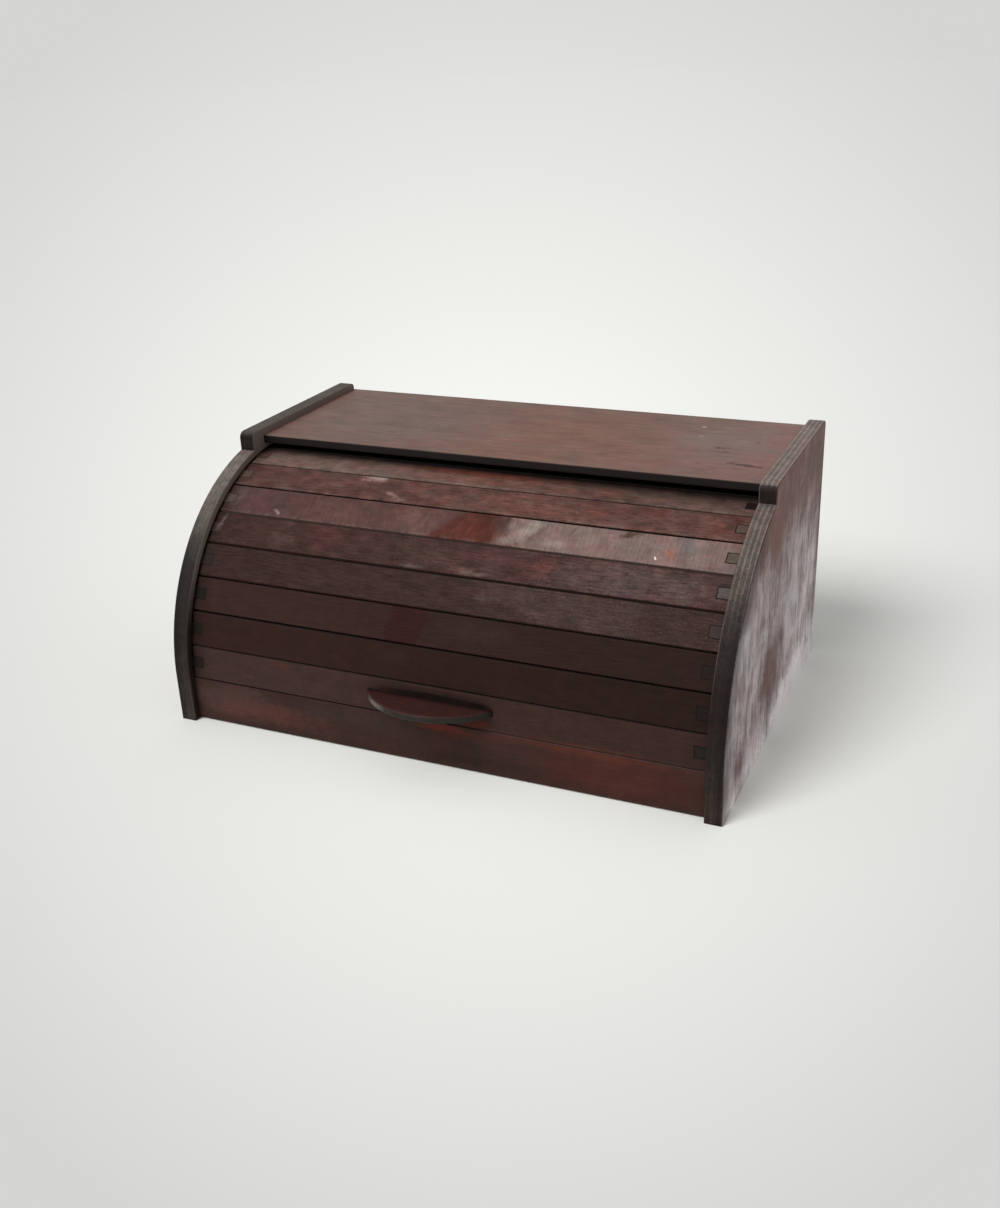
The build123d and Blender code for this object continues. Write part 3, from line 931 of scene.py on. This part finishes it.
def hazy_face(paint, finish, place, broad, fine):
    """Stain of the sides under its pale haze, bloom with a painted reflection, thinner high up and on the
    left side.
    """
    x, y, z = paint.parts(place)
    flat_place = paint.join(y, z)
    haze = BASE_BLOOM_AND_SHEEN
    for at_y, at_z, half_y, half_z, amount, *edge in SIDE_BLOOM_AND_SHEEN:
        haze = patch_mask(paint, flat_place, at_y, at_z, half_y, half_z, 0.25, *edge) * amount + haze
    haze = (z.between(0.105, 0.165) * -0.28 + haze) * left_to_right(x, 0.45, 1.0)
    swing = haze.between(0.0, 0.7, 0.35, 1.0, smooth=False)
    for part, share in ((broad["Streaks"], 0.52), (fine["Streaks"], 0.42), (broad["Mottling"], 0.48)):
        haze = (part - 0.5) * share * swing + haze
    colour = paint.mix(haze, finish.side_tone, finish.side_bloom_and_sheen)
    colour = paint.mix(z.between(0.11, 0.17) * 0.4, colour, stain(118, 74, 64))
    colour = patched(paint, flat_place, colour, SIDE_WEAR)
    return blotched(paint, colour, paint.join(z, y, x), (0.03, 0.014, 0.02), 0.7)


def inner_strip_face(paint, finish, place, depth, colour):
    """A side's face: its bare inner half, the strip of the inner face inside the curve with painted light
    and a painted shadow line beside the slats, and a dark border.
    """
    _, y, z = paint.parts(place)
    colour = paint.mix(depth.between(0.004, 0.006), colour, finish.inside_tone)
    _, centre_y, centre_z = slide["pos_m"]
    above = paint.math("MAXIMUM", z - centre_z, 0.0)
    radius = paint.vector("LENGTH", paint.join(0.0, y - centre_y, above), output="Value")
    inner = depth > SIDE_THICKNESS / 2
    # Painted light on the inner strip, darker low down and lighter high up, with a painted shadow line close
    # to the slats
    strip_light_and_shade = paint.mix(z.between(0.065, 0.12), stain(38, 29, 26), stain(114, 100, 93))
    strip_light_and_shade = paint.mix(radius.between(*LIT_STRIP), stain(30, 22, 20), strip_light_and_shade)
    colour = paint.mix(radius.between(*INNER_STRIP) * inner, colour, strip_light_and_shade)
    border = radius.between(*DARK_BORDER) * y.between(-0.02, -0.05) * (1.0 - inner)
    return scaled(paint, colour, border * -0.56 + 1.0)


def side_edges(paint, finish, place, depth, fine):
    """Edges of the sides, with painted light: pale plies where an edge faces up, painted shade where it
    faces the front, and each edge with its own light.
    """
    x, _, z = paint.parts(place)
    layers = ply_layers(paint, depth, SIDE_THICKNESS, SIDE_PLIES, place)
    shown = paint.mix(layers["Cross Ply"] * left_to_right(x, 0.3, 1.0), finish.ply_pale, finish.ply_dark)
    shown = paint.mix(layers["Glue"] * left_to_right(x, 0.12, 0.6), shown, finish.glue)
    # Painted light and shade: pale plies where an edge faces up, the dark shaded edge colour where it faces
    # the front
    colour = paint.mix(paint.facing(Z).between(0.54, 0.92), shaded_edge_colour(paint, finish, layers), shown)
    colour = grained(paint, colour, fine, 0.3)
    top_edge = z > TOP_EDGE_HEIGHT
    left = paint.mix(z.between(0.115, 0.075), (0.83, 0.86, 0.82), (1.05, 1.11, 1.05))
    left = paint.mix(top_edge, left, (0.42, 0.42, 0.38))
    right = paint.mix(top_edge, (0.92, 0.88, 0.88), (1.28, 1.22, 1.2))
    warm = z.between(0.05, 0.08) * z.between(0.125, 0.105)
    right = paint.mix(warm, right, (0.78, 0.6, 0.58))
    colour = paint.vector("MULTIPLY", colour, paint.mix(x > 0.0, left, right))
    colour = blotched(paint, colour, place, (0.006, 0.006, 0.006), 1.2)
    colour = scaled(paint, colour, z.between(0.07, 0.0, 1.0, 2.0))
    outer = depth.between(0.0065, 0.0035) * z.between(0.15, 0.11)
    return scaled(paint, colour, outer * -0.42 + 1.1)


def side_material(finish):
    """Streaked, hazy plywood of the sides, with its plies showing on every edge."""
    material, paint = new_material("side_stained_plywood")
    place = paint.object_place()
    x, y, z = paint.parts(place)
    depth = side_high.x - abs(x)
    grain_place = paint.join(z, y, x)
    broad = grain_of(paint, grain_place, 0.05, 0.0045, 0.03, 2.0)
    fine = grain_of(paint, grain_place, 0.02, 0.0011, 0.012, 8.0)
    face = inner_strip_face(paint, finish, place, depth, hazy_face(paint, finish, place, broad, fine))
    edges = side_edges(paint, finish, place, depth, fine)
    finish_wood(paint, paint.mix(paint.faces(X), edges, face), fine, 0.52, 0.4, 0.12)
    return material


# Other boards


def board_material(
    name, finish, tone, through, face, thickness, gloss, seed, patches=(), edge_light=(1.0, 1.0), uneven=0.55
):
    """Stained plywood board with its grain along X and its plies through the axis numbered through."""
    material, paint = new_material(name)
    place = paint.object_place()
    parts = paint.parts(place)
    depth = abs(face - parts[through])
    grain = grain_of(paint, place, 0.03, 0.0016, 0.03, seed)
    colour = paint.mix(grain["Mottling"] * 0.08, tone, finish.wear_red)
    colour = patched(paint, paint.join(parts[X], parts[Y if through == Z else Z]), colour, patches)
    colour = blotched(paint, colour, place, (0.03, 0.016, 0.016), uneven)
    colour = blotched(paint, colour, place, (0.007, 0.005, 0.005), 0.6 * uneven)
    colour = grained(paint, colour, grain, 0.08)
    layers = shaded_edge_colour(paint, finish, ply_layers(paint, depth, thickness, THIN_PLIES, place))
    layers = scaled(paint, layers, parts[X].between(-0.05, 0.08, *edge_light))
    finish_wood(paint, paint.mix(paint.faces(through), layers, colour), grain, 0.46, 0.3, gloss)
    return material


# Wear of the top board, x and y in the frame of the box
TOP_WEAR = (
    (-110, 74, 130, 110, (99, 80, 72), 0.6, 0.2),
    (36, 70, 120, 100, (114, 75, 60), 0.8, 0.2),
    (0, 14, 170, 24, (110, 74, 60), 0.6),
    (160, 80, 60, 90, (120, 94, 88), 0.6, 0.2),
    (150, 30, 46, 20, (124, 82, 76), 0.5),
    (126, 88, 36, 30, (114, 98, 90), 0.4, 0.4),
    (176, 44, 24, 30, (136, 84, 78), 0.6, 0.4),
    (180, 104, 14, 36, (130, 84, 80), 0.5, 0.4),
    (96, 24, 54, 16, (130, 82, 72), 0.5, 0.5),
    (-172, 22, 30, 24, (116, 78, 70), 0.5, 0.4),
    (167.5, 37, 17, 3.4, (58, 28, 25), 1, 0.9, -11),
    (158, 40, 6, 2.6, (52, 25, 23), 0.8, 0.8),
    (143, 69.5, 9, 2.4, (66, 34, 32), 1, 0.9),
    (147, 61.5, 8, 2.2, (76, 44, 40), 0.9, 0.9),
    (137, 33, 5, 2, (84, 56, 50), 0.7, 0.5, 0, 0.8),
    (105, 28, 5, 2, (84, 52, 46), 0.7, 0.5, 0, 0.8),
    (68.5, 33.5, 7, 2, (74, 44, 40), 0.9, 0.5, 10, 0.8),
    (164, 88, 3, 3, (84, 58, 54), 0.8, 0.4, 0, 0.8),
    (80, 123, 4, 3, (84, 56, 50), 0.7, 0.4, 0, 0.8),
    (122, 93, 3, 2, (164, 142, 136), 0.6, 0.3, 0, 0.7),
    (118, 115, 2.6, 2.2, (190, 172, 166), 0.8, 0.2, 10, 0.6),
    (30, 82, 14, 1.3, (84, 50, 46), 0.8, 0.5, 0, 0.8),
    (-4, 46, 26, 4, (130, 80, 66), 0.5, 0.5),
    (0, 118, 200, 34, (103, 72, 58), 0.45, 0.2),
)
# Wear of the rail and a painted glow under the handle, x and z in the frame of the box
RAIL_WEAR_AND_GLOW = (
    (-160, 20, 56, 20, (76, 56, 52), 0.55),
    (-126, 14, 64, 12, (86, 49, 43), 0.65, 0.4),
    (-60, 24, 60, 10, (54, 44, 43), 0.5),
    # Painted reddish glow under the handle, its reflection on the rail
    (10, 29.5, 28, 4.6, (102, 42, 29), 0.85, 0.25),
    (24, 26, 24, 5, (76, 38, 29), 0.5),
    (130, 17, 84, 22, (74, 36, 30), 0.65, 0.35, 0, 0.8),
    (110, 31, 90, 5, (88, 44, 32), 0.5),
    (30, 8, 50, 10, (38, 25, 22), 0.6),
)


# Handle, fixings and canvas


def handle_material(finish):
    """Stained handle with a greyish rim, worn and with a painted pale highlight at its left end, and painted
    shade where it meets the slat.
    """
    material, paint = new_material("handle_stained_plywood")
    place = paint.object_place()
    x, y, _ = paint.parts(place)
    grain = grain_of(paint, place, 0.02, 0.0012, 0.015, 5.0)
    # Wear with a painted highlight: pale place on the left end of the rim
    rub_and_highlight = patch_mask(paint, paint.join(x, y), handle_low.x / MM + 19, handle_high.y / MM - 16, 22, 12)
    rubbed_and_highlighted = paint.mix(rub_and_highlight * 0.7, grained(paint, finish.handle_rim, grain, 0.25), stain(124, 114, 106))
    colour = grained(paint, finish.handle_tone, grain, 0.2)
    colour = paint.mix(paint.facing(Z).between(0.3, 0.85), rubbed_and_highlighted, colour)
    # Painted shade where the handle meets the slat
    painted_shade_at_slat = y.between(handle_high.y - 0.009, handle_high.y - 0.002)
    colour = paint.mix(painted_shade_at_slat * 0.85, colour, stain(14, 10, 9))
    finish_wood(paint, colour, grain, 0.46, 0.25, 0.1)
    return material


def beech_material(finish):
    """Fine-grained beech of the dowels."""
    material, paint = new_material("dowel_beech")
    grain = grain_of(paint, paint.object_place(), 0.01, 0.0006, 0.02, 9.0)
    colour = paint.mix(grain["Streaks"] * 0.3, finish.beech_tone, stain(140, 104, 70))
    finish_wood(paint, colour, grain, 0.55, 0.2, 0.3)
    return material


def steel_material(name, finish):
    """Dull steel with fine scratches and a little tarnish."""
    material, paint = new_material(name)
    place = paint.object_place()
    scratch = paint.noise(place, 3000.0, detail=2).between(0.3, 0.7, 0.28, 0.5)
    tarnish = paint.noise(place, 400.0).between(0.45, 0.7)
    coat(paint, paint.mix(tarnish, finish.steel_tone, stain(92, 82, 74)), scratch, 0.5, metal=1.0)
    return material


def canvas_material(finish):
    """Plain-woven canvas, its threads drawn along the cloth's own map."""
    material, paint = new_material("canvas_weave")
    place = paint.value("ShaderNodeUVMap", uv_map="cloth")
    u, v, _ = paint.parts(paint.vector("DIVIDE", place, (THREAD, THREAD, 1)))
    over = abs(paint.math("MODULO", paint.math("FLOOR", u) + paint.math("FLOOR", v), 2.0))
    warp = abs(paint.math("SINE", u * math.pi))
    weft = abs(paint.math("SINE", v * math.pi))
    height = paint.value("ShaderNodeMix", {0: over, 2: warp, 3: weft})
    slub = paint.noise(place, 180.0, detail=4, roughness=0.7).between(0.5, 0.75, 0.0, 0.35)
    colour = paint.mix(height.between(0.0, 0.6), stain(112, 98, 78), finish.canvas_tone)
    colour = paint.mix(slub, colour, stain(126, 108, 84))
    colour = paint.mix(paint.attribute("glued", "Fac"), colour, finish.glued_canvas)
    relief = paint.relief(height, 0.6, CANVAS_RELIEF)
    coat(paint, colour, height.between(0.0, 1.0, 0.95, 0.8), 0.2, relief)
    return material


# Operators


class BREADBOX_OT_slats(bpy.types.Operator):
    """Make the slats of the roll-up door"""

    bl_idname = "bread_box.slats"
    bl_label = "Slats"

    def execute(self, context):
        door = context.scene.bread_box_door
        material = slat_material(door, context.scene.bread_box_finish)
        slats = row_of("door_slats", slat_blank(door), door, material)
        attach(slats, DOOR)
        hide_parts(*[f"slat_{number}" for number in range(1, door.slat_count + 1)])
        return {"FINISHED"}


class BREADBOX_OT_runners(bpy.types.Operator):
    """Make the runners in the ends of the slats"""

    bl_idname = "bread_box.runners"
    bl_label = "Runners"

    def execute(self, context):
        door = context.scene.bread_box_door
        material = runner_material(context.scene.bread_box_finish)
        runners = row_of("door_runners", runner_blank(door), door, material)
        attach(runners, DOOR)
        numbers = range(1, door.slat_count + 1)
        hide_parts(*[f"{side}_runner_{number}" for side in ("left", "right") for number in numbers])
        return {"FINISHED"}


class BREADBOX_OT_canvas(bpy.types.Operator):
    """Make the canvas glued behind the slats"""

    bl_idname = "bread_box.canvas"
    bl_label = "Canvas"

    def execute(self, context):
        door = context.scene.bread_box_door
        line = cloth_line(door)
        run = [0.0]
        for before, after in zip(line, line[1:]):
            run.append(run[-1] + (after - before).length)
        canvas = new_piece("door_canvas", cloth_mesh(line, run, door.canvas_width))
        thickness = canvas.modifiers.new("thickness", "SOLIDIFY")
        thickness.thickness = door.canvas_thickness
        thickness.offset = -1
        settled(canvas)
        glued = canvas.data.attributes.new("glued", "FLOAT", "FACE")
        for polygon in canvas.data.polygons:
            outward = polygon.center - Vector(door.curve_centre)
            outward.x = 0
            glued.data[polygon.index].value = float(polygon.normal.dot(outward) > 0)
        canvas.data.materials.append(canvas_material(context.scene.bread_box_finish))
        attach(canvas, DOOR)
        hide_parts("canvas_backing")
        return {"FINISHED"}


def dress(node, material):
    """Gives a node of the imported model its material."""
    for slot in frame["nodes"][node].material_slots:
        slot.material = material


class BREADBOX_OT_handle(bpy.types.Operator):
    """Finish the half-moon handle and its screws"""

    bl_idname = "bread_box.handle"
    bl_label = "Handle"

    def execute(self, context):
        finish = context.scene.bread_box_finish
        dress("door_handle", handle_material(finish))
        dress("handle_screws", steel_material("screw_steel", finish))
        return {"FINISHED"}


class BREADBOX_OT_boards(bpy.types.Operator):
    """Finish the sides, the other boards, the rail and their fixings"""

    bl_idname = "bread_box.boards"
    bl_label = "Boards"

    def execute(self, context):
        finish = context.scene.bread_box_finish
        sides = side_material(finish)
        dress("left_side", sides)
        dress("right_side", sides)
        thin = BOARD_THICKNESS
        thick = SIDE_THICKNESS
        top = (finish.top_tone, Z, top_high.z, thin, 0.2, 1.0, TOP_WEAR, (0.55, 0.55), 0.8)
        rail = (finish.rail_tone, Y, rail_low.y, thick, 0.08, 4.0, RAIL_WEAR_AND_GLOW, (0.6, 4.0))
        back = (finish.inside_tone, Y, back_high.y, thin, 0.3, 6.0)
        bottom = (finish.inside_tone, Z, BOTTOM_BOARD_FACE, thin, 0.3, 8.0)
        dress("top_board", board_material("top_stained_plywood", finish, *top))
        dress("front_rail", board_material("rail_stained_plywood", finish, *rail))
        dress("back_board", board_material("back_stained_plywood", finish, *back))
        dress("bottom_board", board_material("bottom_stained_plywood", finish, *bottom))
        dress("rail_dowels", beech_material(finish))
        dress("back_brads", steel_material("brad_steel", finish))
        return {"FINISHED"}


# Stage


class BREADBOX_OT_stage(bpy.types.Operator):
    """Make the floor, the lamp, the room and the camera"""

    bl_idname = "bread_box.stage"
    bl_label = "Stage"

    def execute(self, context):
        stage = context.scene.bread_box_stage
        shape = bmesh.new()
        bmesh.ops.create_circle(shape, cap_ends=True, radius=stage.floor_radius, segments=96)
        floor = new_piece("floor", mesh_of(shape, "floor", turn_outwards=False))
        floor.data.materials.append(floor_material(stage))
        room_light(context.scene, stage)
        lamp = bpy.data.lights.new("soft_lamp", "SUN")
        lamp.energy = stage.lamp_strength
        lamp.angle = stage.lamp_spread
        aim = (-LAMP_PLACE).to_track_quat("-Z", "Y").to_matrix().to_4x4()
        new_piece("soft_lamp", lamp).matrix_world = Matrix.Translation(LAMP_PLACE) @ aim
        camera = bpy.data.cameras.new("camera")
        camera.lens = stage.lens
        camera.sensor_width = 36
        camera.sensor_fit = "AUTO"
        view = new_piece("camera", camera)
        turn = Matrix((VIEW_RIGHT, -VIEW_DOWN, -SIGHT_LINE)).transposed().to_4x4()
        view.matrix_world = Matrix.Translation(VIEWPOINT) @ turn
        context.scene.camera = view
        context.scene.view_settings.view_transform = "Standard"
        return {"FINISHED"}


def backdrop_colour(paint, stage, ray):
    """Pale pool of light round the line from the camera to the box, for a direction out from the camera."""
    angle = paint.math("ARCCOSINE", paint.vector("DOT_PRODUCT", ray, SIGHT_LINE, "Value"))
    shade = angle.between(math.radians(9), math.radians(28.5), smooth=False)
    return paint.mix(shade, stage.floor_middle, stage.floor_edge)


def floor_material(stage):
    """Matt pale floor, a little darker away from the box."""
    material, paint = new_material("pale_floor")
    ray = paint.vector("NORMALIZE", paint.vector("SUBTRACT", paint.object_place(), VIEWPOINT))
    coat(paint, backdrop_colour(paint, stage, ray), 0.9, 0.0)
    return material


def room_light(scene, stage):
    """Even pale room: its colour for the camera, metal and glass, and its light for the box."""
    world = scene.world or bpy.data.worlds.new("room")
    scene.world = world
    world.use_nodes = True
    world.node_tree.nodes.clear()
    paint = Paint(world.node_tree)
    plain = paint.value("ShaderNodeBackground", {0: (1, 1, 1), 1: stage.surround})
    colour = backdrop_colour(paint, stage, paint.object_place())
    seen = paint.value("ShaderNodeBackground", {0: colour, 1: 1.0})
    ray = paint.outputs("ShaderNodeLightPath")
    straight = paint.math("MAXIMUM", ray["Is Camera Ray"], ray["Is Glossy Ray"])
    straight = paint.math("MAXIMUM", straight, ray["Is Transmission Ray"])
    both = paint.value("ShaderNodeMixShader", {0: straight, 1: plain, 2: seen})
    paint.add("ShaderNodeOutputWorld", {0: both})


# Add-on


class BREADBOX_PT_panel(bpy.types.Panel):
    """Lists the steps that make the bread box"""

    bl_label = "Bread box"
    bl_idname = "BREADBOX_PT_panel"
    bl_space_type = "VIEW_3D"
    bl_region_type = "UI"
    bl_category = "Bread box"

    def draw(self, context):
        for group in property_groups:
            box = self.layout.box()
            settings = getattr(context.scene, group)
            for name in type(settings).__annotations__:
                box.prop(settings, name)
        for operator in operators:
            self.layout.operator(operator.bl_idname)


property_groups = {
    "bread_box_door": BreadBoxDoor,
    "bread_box_finish": BreadBoxFinish,
    "bread_box_stage": BreadBoxStage,
}
operators = (
    BREADBOX_OT_stage,
    BREADBOX_OT_boards,
    BREADBOX_OT_slats,
    BREADBOX_OT_runners,
    BREADBOX_OT_canvas,
    BREADBOX_OT_handle,
)


def register():
    for cls in (*property_groups.values(), *operators, BREADBOX_PT_panel):
        bpy.utils.register_class(cls)
    for name, cls in property_groups.items():
        setattr(bpy.types.Scene, name, bpy.props.PointerProperty(type=cls))


def unregister():
    for name in property_groups:
        delattr(bpy.types.Scene, name)
    for cls in (BREADBOX_PT_panel, *operators, *property_groups.values()):
        bpy.utils.unregister_class(cls)


def main():
    register()
    bpy.ops.bread_box.stage()
    bpy.ops.bread_box.boards()
    bpy.ops.bread_box.slats()
    bpy.ops.bread_box.runners()
    bpy.ops.bread_box.canvas()
    bpy.ops.bread_box.handle()


if __name__ == "__main__":
    main()
